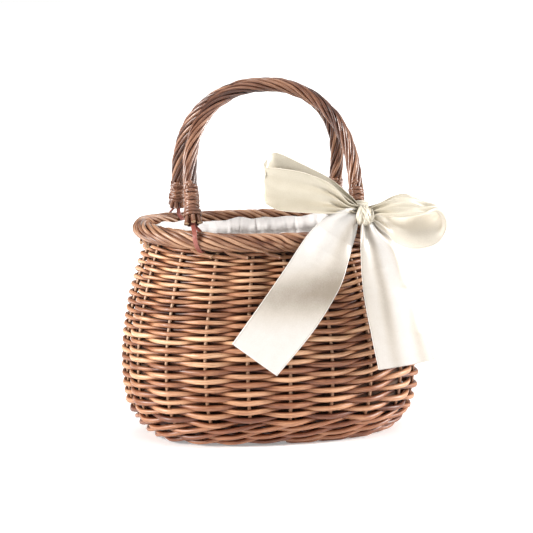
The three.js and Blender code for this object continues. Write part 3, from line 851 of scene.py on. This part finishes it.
def satin(name, bright, middle, dark):
    """Ivory satin: fine warp bump, a cloudy lustre painted in as highlight and shade, and a close-woven
    line along each edge.
    """
    nodes = Nodes(name)
    uv = nodes.cloth_uv()
    along = nodes.add("ShaderNodeTangent", {"direction_type": "UV_MAP", "uv_map": "cloth_uv"})
    long_yarn = nodes.add("ShaderNodeMapping", Vector=uv, Scale=(700.0, 2600.0, 1.0)).outputs["Vector"]
    yarn = nodes.noise(long_yarn, 1.0, 3.0, 0.6)
    slubs = nodes.noise(uv, 900.0, 4.0, 0.7)
    clouds = nodes.noise(uv, 130.0, 3.0, 0.6)
    edge = nodes.math("LESS_THAN", nodes.attribute("edge"), 0.5)
    from_seam = nodes.math("ABSOLUTE", nodes.math("SUBTRACT", nodes.attribute("edge"), 0.95))
    seam = nodes.math("LESS_THAN", from_seam, 0.3)
    # painted highlight and shade: the shade value, slubs and clouds pick between the bright, middle and
    # dark colours
    lustre = nodes.total(nodes.attribute("shade"), nodes.times(slubs, 0.34),
                         nodes.times(clouds, 0.2), -0.24)
    colour = nodes.ramp(lustre, [(0.0, bright), (0.5, middle), (1.0, dark)])
    colour = nodes.mix(nodes.times(edge, 0.5), colour, (*bright, 1.0))
    colour = nodes.mix(nodes.times(seam, 0.3), colour, (*dark, 1.0))
    rough = nodes.total(nodes.times(slubs, 0.2), 0.26)
    height = nodes.total(nodes.times(yarn, 0.5), slubs, nodes.times(edge, 0.8))
    return nodes.shade(Base_Color=colour, Roughness=rough, Metallic=0.1, Anisotropic=0.5,
                       Tangent=along.outputs["Tangent"], Specular_IOR_Level=0.5,
                       Sheen_Weight=0.05, Sheen_Roughness=0.4,
                       Normal=nodes.bump(height, 0.0001, 0.5))


def cotton(name, dull, bright):
    """Off-white plain weave with small slubs and soft creases."""
    nodes = Nodes(name)
    uv = nodes.cloth_uv()
    warp, weft = (
        nodes.add("ShaderNodeTexWave", {"wave_type": "BANDS", "bands_direction": direction},
                  Vector=uv, Scale=330.0, Distortion=1.2, Detail=2.0).outputs["Fac"]
        for direction in "XY")
    weave = nodes.math("MAXIMUM", warp, weft)
    slubs = nodes.noise(uv, 240.0, 4.0, 0.6)
    creases = nodes.noise(uv, 34.0, 5.0, 0.6)
    tint = nodes.total(nodes.times(slubs, 0.6), nodes.times(weave, 0.3))
    height = nodes.total(nodes.times(weave, 0.25), nodes.times(slubs, 0.4), nodes.times(creases, 2.4))
    return nodes.shade(Base_Color=nodes.ramp(tint, [(0.2, dull), (0.7, bright)]), Roughness=0.92,
                       Sheen_Weight=0.2, Normal=nodes.bump(height, 0.0004, 0.7))


def leather():
    """Red-brown strap leather: pebbled grain, worn lighter along the edges."""
    nodes = Nodes("strap_leather")
    pebbles = nodes.add("ShaderNodeTexVoronoi", {"feature": "SMOOTH_F1"},
                        Vector=nodes.here(), Scale=1500.0).outputs["Distance"]
    clouds = nodes.noise(nodes.here(), 160.0, 4.0)
    wear = nodes.add("ShaderNodeNewGeometry").outputs["Pointiness"]
    colour = nodes.ramp(clouds, [(0.3, (0.19, 0.045, 0.034)), (0.7, (0.3, 0.085, 0.065))])
    worn = nodes.ramp(wear, [(0.5, (0, 0, 0)), (0.58, (1, 1, 1))])
    colour = nodes.mix(nodes.times(worn, 0.5), colour, (0.42, 0.17, 0.13, 1.0))
    return nodes.shade(Base_Color=colour, Roughness=nodes.total(nodes.times(clouds, 0.25), 0.34),
                       Normal=nodes.bump(nodes.total(pebbles, nodes.times(clouds, 0.8)), 0.0002, 0.5))


# each satin's bright, middle and dark colours are painted highlight and shade; the loops' brighter cream
# end also paints light shining through the thin cloth
MAT["satin"] = satin("ivory_satin", (0.69, 0.665, 0.635), (0.53, 0.48, 0.42), (0.29, 0.245, 0.195))
MAT["loops"] = satin("ivory_satin_loops", (0.93, 0.86, 0.74), (0.59, 0.54, 0.44), (0.4, 0.34, 0.24))
MAT["cotton"] = cotton("liner_cotton", (0.84, 0.81, 0.79), (0.95, 0.92, 0.9))
# painted shade: a dark brown copy of the cotton for the bag's outside, where it shows through the gaps in
# the weave
MAT["cotton_outside"] = cotton("liner_cotton_outside", (0.12, 0.06, 0.036), (0.17, 0.09, 0.055))
MAT["leather"] = leather()

# --- liner ---
LINER_FLOOR = 10.8
LINER_HEM = 158.8
LINER_RISE = 3.0
# painted shade: below this height the bag's outside takes the dark brown cotton
LINER_SHADE_TOP = 149.0
LINER_INSET = 10.2
LINER_MOUTH_INSET = 8.5
LINER_FOOT_INSET = 5.0
LINER_NECK = 150.0
LINER_COLUMNS = 480


def liner_oval(z):
    """The bag keeps inside the woven rods up to the neck, then follows the inside of the border."""
    inset = LINER_INSET + LINER_FOOT_INSET * smooth(z, 26, 11)
    wall = wall_oval(np.minimum(z, LINER_NECK)) - inset[..., None] * np.array([1, 1, 0])
    mouth = BORDER - np.array([LINER_MOUTH_INSET, LINER_MOUTH_INSET, 0])
    share = smooth(z, LINER_NECK + 3, LINER_NECK + 8)[..., None]
    return wall * (1 - share) + mouth * share


def liner():
    """A gathered cotton bag: folds grow towards its mouth, and the hem is turned inwards."""
    shares = np.arange(LINER_COLUMNS) / LINER_COLUMNS
    turn = even_turn(shares)
    folds = wobble(LINER_COLUMNS, (11, 17, 23, 31, 41), 0.75)
    small = wobble(LINER_COLUMNS, (37, 53, 67, 83), 0.3)
    drift = wobble(LINER_COLUMNS, (5, 7, 13), 1.0)
    hem_wave = wobble(LINER_COLUMNS, (3, 8, 13, 21), 0.7)
    rows = []
    for step in np.linspace(0.004, 0.97, 16):
        flat, _ = oval_point(liner_oval(np.full(LINER_COLUMNS, LINER_FLOOR)), turn)
        puckers = 0.5 + 0.5 * np.sin(step * 19 + drift)
        rows.append(np.column_stack([flat * step, LINER_FLOOR + 0.5 * puckers * step]))
    for z in np.linspace(LINER_FLOOR + 1, LINER_HEM, 60):
        share = (z - LINER_FLOOR) / (LINER_HEM - LINER_FLOOR)
        rows.append(liner_row(turn, z, share, folds, small, drift, hem_wave, 0.0))
    for turned, drop in [(1.0, -0.4), (1.6, 0.4), (1.8, 4), (1.5, 9)]:
        rows.append(liner_row(turn, LINER_HEM - drop, 1.0, folds, small, drift, hem_wave, turned))
    grid = np.array(rows).transpose(1, 0, 2)
    # painted shade: the first, dark brown material goes on the outside of the bag below 149 mm, where it
    # shows through the gaps in the weave
    piece = cloth_piece("cotton_liner", grid, MAT["cotton_outside"], COTTON_THICKNESS, closed=True)
    piece.data.materials.append(MAT["cotton"])
    piece.modifiers["thickness"].material_offset = 1
    above = [face.center.z > LINER_SHADE_TOP * MM for face in piece.data.polygons]
    piece.data.polygons.foreach_set("material_index", above)
    place(piece, "basket", "cotton", "liner_bag")


def liner_row(turn, z, share, folds, small, drift, hem_wave, turned):
    """One ring of the bag; turned is how far the hem has come inwards."""
    flat, outwards = oval_point(liner_oval(np.full(turn.shape, float(z))), turn)
    lift = smooth(share, 0.25, 1.0)
    deep = np.abs(folds) * 2.3 * lift + (0.5 + 0.5 * np.sin(drift + share * 7)) * 1.2
    inwards = 0.4 + deep + np.abs(small) * 1.6 * lift + turned
    rise = LINER_RISE * np.cos(turn * TURN) ** 2 * smooth(share, 0.85, 1.0)
    height = z + hem_wave * 1.8 * smooth(share, 0.8, 1.0) + rise
    return np.column_stack([flat - outwards * inwards[:, None], height])


# --- leather straps ---
STRAP_REACH = 8.6
STRAP_HALF_WIDTH = 1.7
STRAP_THINNESS = 0.30067                    # thickness over width
STRAP_ANGLES = [50, 15, -25, -65, -105, -150, 170, 135]     # round the border, 0 is outwards


def strap(label, hand_label, side, hand):
    """A strip that comes out between the rod ends of a leg, round the border, and back in."""
    low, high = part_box(f"{label}_{hand_label}_strap")
    middle = (np.array(low)[:2] + np.array(high)[:2]) / 2 / MM
    turns = np.linspace(0, 1, 2000)
    turn = turns[np.argmin(np.linalg.norm(oval_point(BORDER, turns)[0] - middle, axis=1))]
    flat, outwards = oval_point(BORDER, np.array(turn))
    outwards = np.array([*outwards, 0.0])
    centre = np.array([*flat, border_height(turn)])
    plane = HandlePlane(side)
    start = plane.point(hand * HANDLE_SPAN, FOOT_REACH + 5)
    foot = plane.point(hand * HANDLE_SPAN, FOOT_REACH + 0.6)
    ring = [centre + STRAP_REACH * (outwards * math.cos(angle) + UP * math.sin(angle))
            + RIGHT * hand * 2.0 * math.sin(angle) for angle in np.radians(STRAP_ANGLES)]
    inside = outwards * 1.1
    points = spline([start + inside, foot + inside, *ring, foot - inside, start - inside], 90)
    bundle = Bundle(16)
    away = points - (centre + UP)
    bundle.add(points, STRAP_HALF_WIDTH, away, 0.5, flat=STRAP_THINNESS, square=0.45)
    piece = bundle.build(f"{label}_{hand_label}_leather", [MAT["leather"]])
    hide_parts(f"{label}_{hand_label}_strap")
    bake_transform(piece)


# --- bow ---
def spread(values, count):
    """Values at even places, read off at count places in a column."""
    return np.interp(np.linspace(0, 1, count), np.linspace(0, 1, len(values)), values)[:, None]


def ribbon(name, body, node, edges, bulges, count, deepest, shade, sway=(0, 0), along=150,
           material="satin"):
    """A strip of ribbon between two edges, given as (edge_a, edge_b) places along it.

    bulges is how far its middle stands off at each place, and sway how far all of it does. Where the
    edges come closer together than the ribbon's width, count folds take up the rest, and fade to a
    broad curve where it opens."""
    a = spline([edge[0] for edge in edges], along)
    b = spline([edge[1] for edge in edges], along)
    share = np.linspace(0, 1, RIBBON_COLUMNS)[None, :]
    centre = (a + b) / 2
    steps = np.linalg.norm(np.diff(centre, axis=0, prepend=centre[:1]), axis=1)
    down = (np.cumsum(steps) / steps.sum())[:, None]
    grid = a[:, None] * (1 - share[..., None]) + b[:, None] * share[..., None]
    normal = unit(np.cross(np.gradient(grid, axis=0), np.gradient(grid, axis=1)))
    width = np.linalg.norm(b - a, axis=1)[:, None]
    spare = np.sqrt(np.clip(RIBBON_WIDTH / width - 1, 0, None))
    depth = np.minimum(width / (math.pi * count) * spare, deepest)
    tight = smooth(width, 32, 14)
    drift = np.linspace(0, 0.9, along)[:, None]
    fine = np.sin(TURN * count * share + 0.7 * np.sin(TURN * share) + drift)
    broad = np.sin(TURN * 1.25 * share + 1.1 + drift)
    bulge = spread(bulges, along) * np.sin(math.pi * share) - spread(sway, along)
    offset = bulge + depth * (tight * fine + (1 - tight) * 0.55 * broad)
    piece = cloth_piece(name, grid + normal * offset[..., None], MAT[material], SATIN_THICKNESS,
                        shade=shade(down, share))
    place(piece, body, "satin", node)


LEFT_LOOP_EDGES = [
    ([57, -66, 173], [58, -64, 180]), ([49, -70, 176], [50, -66, 183]),
    ([34, -74, 176], [38, -68, 197]), ([13.5, -75, 177.5], [19, -68, 206]),
    ([-2.5, -73, 179.5], [0.5, -67, 210]), ([-12, -69, 184], [-11.5, -63.5, 211.5]),
    ([-12.3, -65, 184.5], [-8.5, -60, 217]), ([-4, -61, 183], [-1, -56, 221]),
    ([18, -59, 178], [19, -56, 211.5]), ([38, -59, 173], [39, -57, 200.5]),
    ([54, -61, 170], [53, -59, 188]), ([60, -62, 171], [59, -60, 181]),
]
RIGHT_LOOP_EDGES = [
    ([68, -67, 171], [67, -64, 179]), ([75, -72, 172.5], [76, -64, 181.5]),
    ([85, -77, 171], [86, -63, 186]), ([96, -78, 171], [96, -60, 187]),
    ([108, -75, 172.3], [108, -58, 181.5]), ([117.5, -70, 174.2], [118.5, -59, 176.8]),
    ([124, -66.5, 168.5], [122, -55, 173]), ([125.8, -62, 158], [120, -52, 174]),
    ([119.5, -60, 148], [112, -50, 176]), ([103, -60, 144.8], [100, -50, 179]),
    ([88, -62, 150.5], [89, -54, 180]), ([75, -65, 163], [78, -58, 178]),
    ([66, -66, 169], [67, -61, 177]),
]
LEFT_TAIL_EDGES = [
    ([55, -65.5, 178], [60, -65, 170]), ([47, -70, 178.5], [58, -68.5, 166]),
    ([36, -72, 175], [56.5, -72, 160]), ([26, -75.5, 168.5], [53, -76, 151]),
    ([15, -79.5, 158], [47.5, -81.5, 138.5]), ([0, -83.5, 138.5], [38.5, -87.5, 120]),
    ([-18, -85.7, 114.5], [19, -88.5, 90.5]), ([-41.5, -86.2, 82.8], [-8.5, -86.5, 57.2]),
]
RIGHT_TAIL_EDGES = [
    ([61, -66, 170], [68, -65.5, 170]), ([59.5, -70.5, 163], [73, -68.5, 164]),
    ([58.2, -76, 149], [84, -71, 154]), ([57.8, -81.5, 131], [92.5, -73.5, 137]),
    ([58.4, -86, 112], [101, -76.5, 105]), ([62, -87, 88], [106, -78, 83]),
    ([69, -86, 58], [114, -78.5, 62.5]),
]


def left_tail_shade(down, across):
    """Painted highlight and shade: bright at the knot and at the end, with one soft grey band slanting
    across between them, and a fold shaded near the knot.
    """
    band = np.exp(-((down - 0.56 + 0.22 * (across - 0.5)) / 0.17) ** 2)
    fold = np.exp(-((across - 0.75) / 0.16) ** 2) * smooth(down, 0.5, 0.1)
    return 0.08 + 0.95 * band * (0.7 + 0.3 * across) + 0.5 * fold


def right_tail_shade(down, across):
    """Painted shade in long flutes that run down from the knot and along one side, and a painted light
    end.
    """
    flutes = 0.5 + 0.5 * np.cos(TURN * (2.1 * across + 0.12 + 0.2 * down))
    side = smooth(across, 0.45, 0.0)
    return 0.1 + (0.55 * flutes ** 2 + 0.3 * side) * (1 - 0.45 * smooth(down, 0.6, 1.0))


def left_loop_shade(down, across):
    """Painted light along the top edge, and painted shade in creases that fan out from the knot."""
    fan = (0.5 + 0.5 * np.cos(TURN * (2.6 * across + 0.3))) ** 2
    near_knot = np.abs(2 * down - 1) ** 1.5
    return 0.56 + 0.4 * fan * near_knot + 0.15 * smooth(across, 0.6, 0.0)


def right_loop_shade(down, across):
    """Painted shade in creases on the front layer, and a back layer painted bright, as light shining
    through it.
    """
    back = smooth(down, 0.42, 0.55) * smooth(down, 0.98, 0.88)
    fan = 0.5 + 0.5 * np.cos(TURN * (2.2 * across + 0.1))
    return (0.42 + 0.4 * fan * np.abs(2 * down - 1) ** 1.6) * (1 - back)


def knot_band(name, nodes, half, depth, height, centre, tilt, phase):
    """A band of ribbon pulled round the middle of the bow, creased lengthwise."""
    around = np.linspace(0, TURN, 120, endpoint=False)[:, None]
    across = np.linspace(-1, 1, 48)[None, :]
    crease = 0.55 * np.sin(across * 7.5 + phase + 0.5 * np.sin(around)) + 0.3 * np.sin(
        across * 15 + 2 * np.cos(around + phase))
    waist = 1 - 0.3 * across ** 2
    reach_y = depth * waist + crease
    reach_z = height * waist + crease
    back = np.where(np.cos(around) < 0, 1.55, 1.0)
    x = half * across * (1 + 0.12 * np.cos(2 * around))
    y = -reach_y * np.cos(around) * back
    z = reach_z * np.sin(around)
    x, z = x * math.cos(tilt) - z * math.sin(tilt), x * math.sin(tilt) + z * math.cos(tilt)
    grid = np.stack([x, y, z], -1) + centre
    # painted shade in the hollows of the creases
    shade = 0.42 + 0.4 * smooth(crease, 0.1, -0.5)
    piece = cloth_piece(name, grid, MAT["loops"], SATIN_THICKNESS, closed=True, shade=shade)
    place(piece, "front_handle", "satin", *nodes)


def leg_wrap():
    """Ribbon gathered round the front handle's right leg, behind the knot."""
    plane = HandlePlane(-1)
    around = np.linspace(0, TURN, 96, endpoint=False)
    rows = []
    for share in np.linspace(0, 1, 30):
        crease = 0.35 * np.sin(share * 21 + 0.7 * np.sin(around * 2)) + 0.2 * np.sin(share * 43 + around)
        radius = 7.6 + 0.5 * math.sin(share * math.pi) + crease
        reach = 15.5 + share * 10.5 + 0.5 * np.sin(around + 1)
        points, _ = leg_ring(plane, 1, radius, reach, around)
        rows.append(points)
    grid = np.array(rows).transpose(1, 0, 2)
    # shade 0.4 paints the wrap a middling grey of the satin's lustre
    piece = cloth_piece("satin_wrap", grid, MAT["loops"], SATIN_THICKNESS, closed=True, shade=0.4)
    place(piece, "front_handle", "satin", "ribbon_wrap")


def bow():
    ribbon("satin_loop_left", "front_handle", "ribbon_loop_left", LEFT_LOOP_EDGES,
           [0.5, 1, 2.2, 2.5, 1.6, 0.8, 0.6, -1, -1.6, -1.2, -0.5, 0], 3, 1.9,
           left_loop_shade, along=220, material="loops")
    ribbon("satin_loop_right", "front_handle", "ribbon_loop_right", RIGHT_LOOP_EDGES,
           [0.3, 1.2, 2.0, 1.8, 0.8, 0.3, 0.5, 1, 1.4, 1.2, 0.8, 0.2], 3, 1.8,
           right_loop_shade, along=220, material="loops")
    ribbon("satin_tail_left", "ribbon_tails", "ribbon_tail_left", LEFT_TAIL_EDGES,
           [0.3, 1.0, 1.5, 0.6, -0.8, -1.4, -0.4, 0.8], 2, 1.5,
           left_tail_shade, [0, 0.5, 2.5, 4.0, 2.0, -1.8, -1.0, 1.5])
    ribbon("satin_tail_right", "ribbon_tails", "ribbon_tail_right", RIGHT_TAIL_EDGES,
           [0.5, 1.2, 1.6, 2.4, 3.4, 3.2, 2.0], 2, 2.6,
           right_tail_shade, [0, 0.5, 2.0, 2.5, 0, -1.5, 1.5])
    knot_band("satin_knot", ["ribbon_knot"], 6.0, 6.6, 7.4, [62.8, -66.3, 172.3], -0.2, 0.4)
    knot_band("satin_knot_tuck", [], 3.0, 7.7, 7.8, [63.8, -66.0, 172.3], 0.42, 1.7)
    leg_wrap()


liner()
for label, side in HANDLES:
    for hand_label, hand in HANDS:
        strap(label, hand_label, side, hand)
bow()

# --- camera, light and floor ---
VIEW_DISTANCE = 1750.0
VIEW_AZIMUTH = math.radians(-9.0)
VIEW_ELEVATION = math.radians(7.8)
VIEW_ROLL = math.radians(-1.1)
VIEW_TARGET = Vector((-1.2, 0.0, 127.8))
VIEW_LENS = 152.5
FLOOR_REACH = 30.0                          # in metres
DOME_STRENGTH = 0.24


def camera():
    """A long lens in front, a little to the left and above, rolled slightly."""
    data = bpy.data.cameras.new("camera")
    data.lens = VIEW_LENS
    data.sensor_width = 36.0
    data.clip_start, data.clip_end = 0.05, 20.0
    turned = (Matrix.Rotation(VIEW_AZIMUTH, 4, "Z")
              @ Matrix.Rotation(math.pi / 2 - VIEW_ELEVATION, 4, "X")
              @ Matrix.Rotation(VIEW_ROLL, 4, "Z"))
    away = turned @ Vector((0, 0, VIEW_DISTANCE))
    item = new_object("camera", data)
    item.matrix_world = Matrix.Translation((VIEW_TARGET + away) * MM) @ turned
    bpy.context.scene.camera = item


def light(kind, name, where, aim, strength, spread, colour=(1, 1, 1)):
    """A sun, with spread in degrees, or a round area light, with spread in metres."""
    data = bpy.data.lights.new(name, kind)
    data.energy = strength
    data.color = colour
    if kind == "SUN":
        data.angle = math.radians(spread)
    else:
        data.shape = "DISK"
        data.size = spread
    item = new_object(name, data)
    item.location = where
    item.rotation_euler = (Vector(aim) - Vector(where)).to_track_quat("-Z", "Y").to_euler()


def studio():
    """A plain white background, a soft dome, three suns, a rim light, and a pale floor."""
    world = bpy.data.worlds.new("studio")
    world.use_nodes = True
    tree = world.node_tree
    dome, white = tree.nodes["Background"], tree.nodes.new("ShaderNodeBackground")
    for background, strength in ((dome, DOME_STRENGTH), (white, 1.0)):
        background.inputs["Color"].default_value = (1.0, 1.0, 1.0, 1.0)
        background.inputs["Strength"].default_value = strength
    seen = tree.nodes.new("ShaderNodeLightPath")
    choose = tree.nodes.new("ShaderNodeMixShader")
    tree.links.new(seen.outputs["Is Camera Ray"], choose.inputs[0])
    tree.links.new(dome.outputs[0], choose.inputs[1])
    tree.links.new(white.outputs[0], choose.inputs[2])
    tree.links.new(choose.outputs[0], tree.nodes["World Output"].inputs["Surface"])
    bpy.context.scene.world = world
    light("SUN", "left", (-1.0, -0.17, 0.34), (0, 0, 0), 4.9, 18.0, (1.0, 0.985, 0.965))
    light("SUN", "right", (0.97, -0.17, 0.34), (0, 0, 0), 4.8, 18.0, (1.0, 0.99, 0.98))
    light("SUN", "top", (0.0, -0.45, 1.0), (0, 0, 0), 1.0, 50.0)
    light("AREA", "rim", (0.4, 1.1, 0.7), (0, 0, 0.12), 3.0, 0.7)
    mesh = bpy.data.meshes.new("floor")
    corners = [(x * FLOOR_REACH, y * FLOOR_REACH, 0) for x, y in ((-1, -1), (1, -1), (1, 1), (-1, 1))]
    mesh.from_pydata(corners, [], [(0, 1, 2, 3)])
    nodes = Nodes("floor_paint")
    mottle = nodes.ramp(nodes.noise(nodes.here(), 30.0, 2.0), [
        (0.3, (0.91, 0.91, 0.91)), (0.7, (0.93, 0.93, 0.93))])
    mesh.materials.append(nodes.shade(Base_Color=mottle, Roughness=0.9,
                                       Emission_Color=(1, 1, 1, 1), Emission_Strength=0.3))
    new_object("floor", mesh)


camera()
studio()
bpy.context.scene.view_settings.view_transform = "Standard"
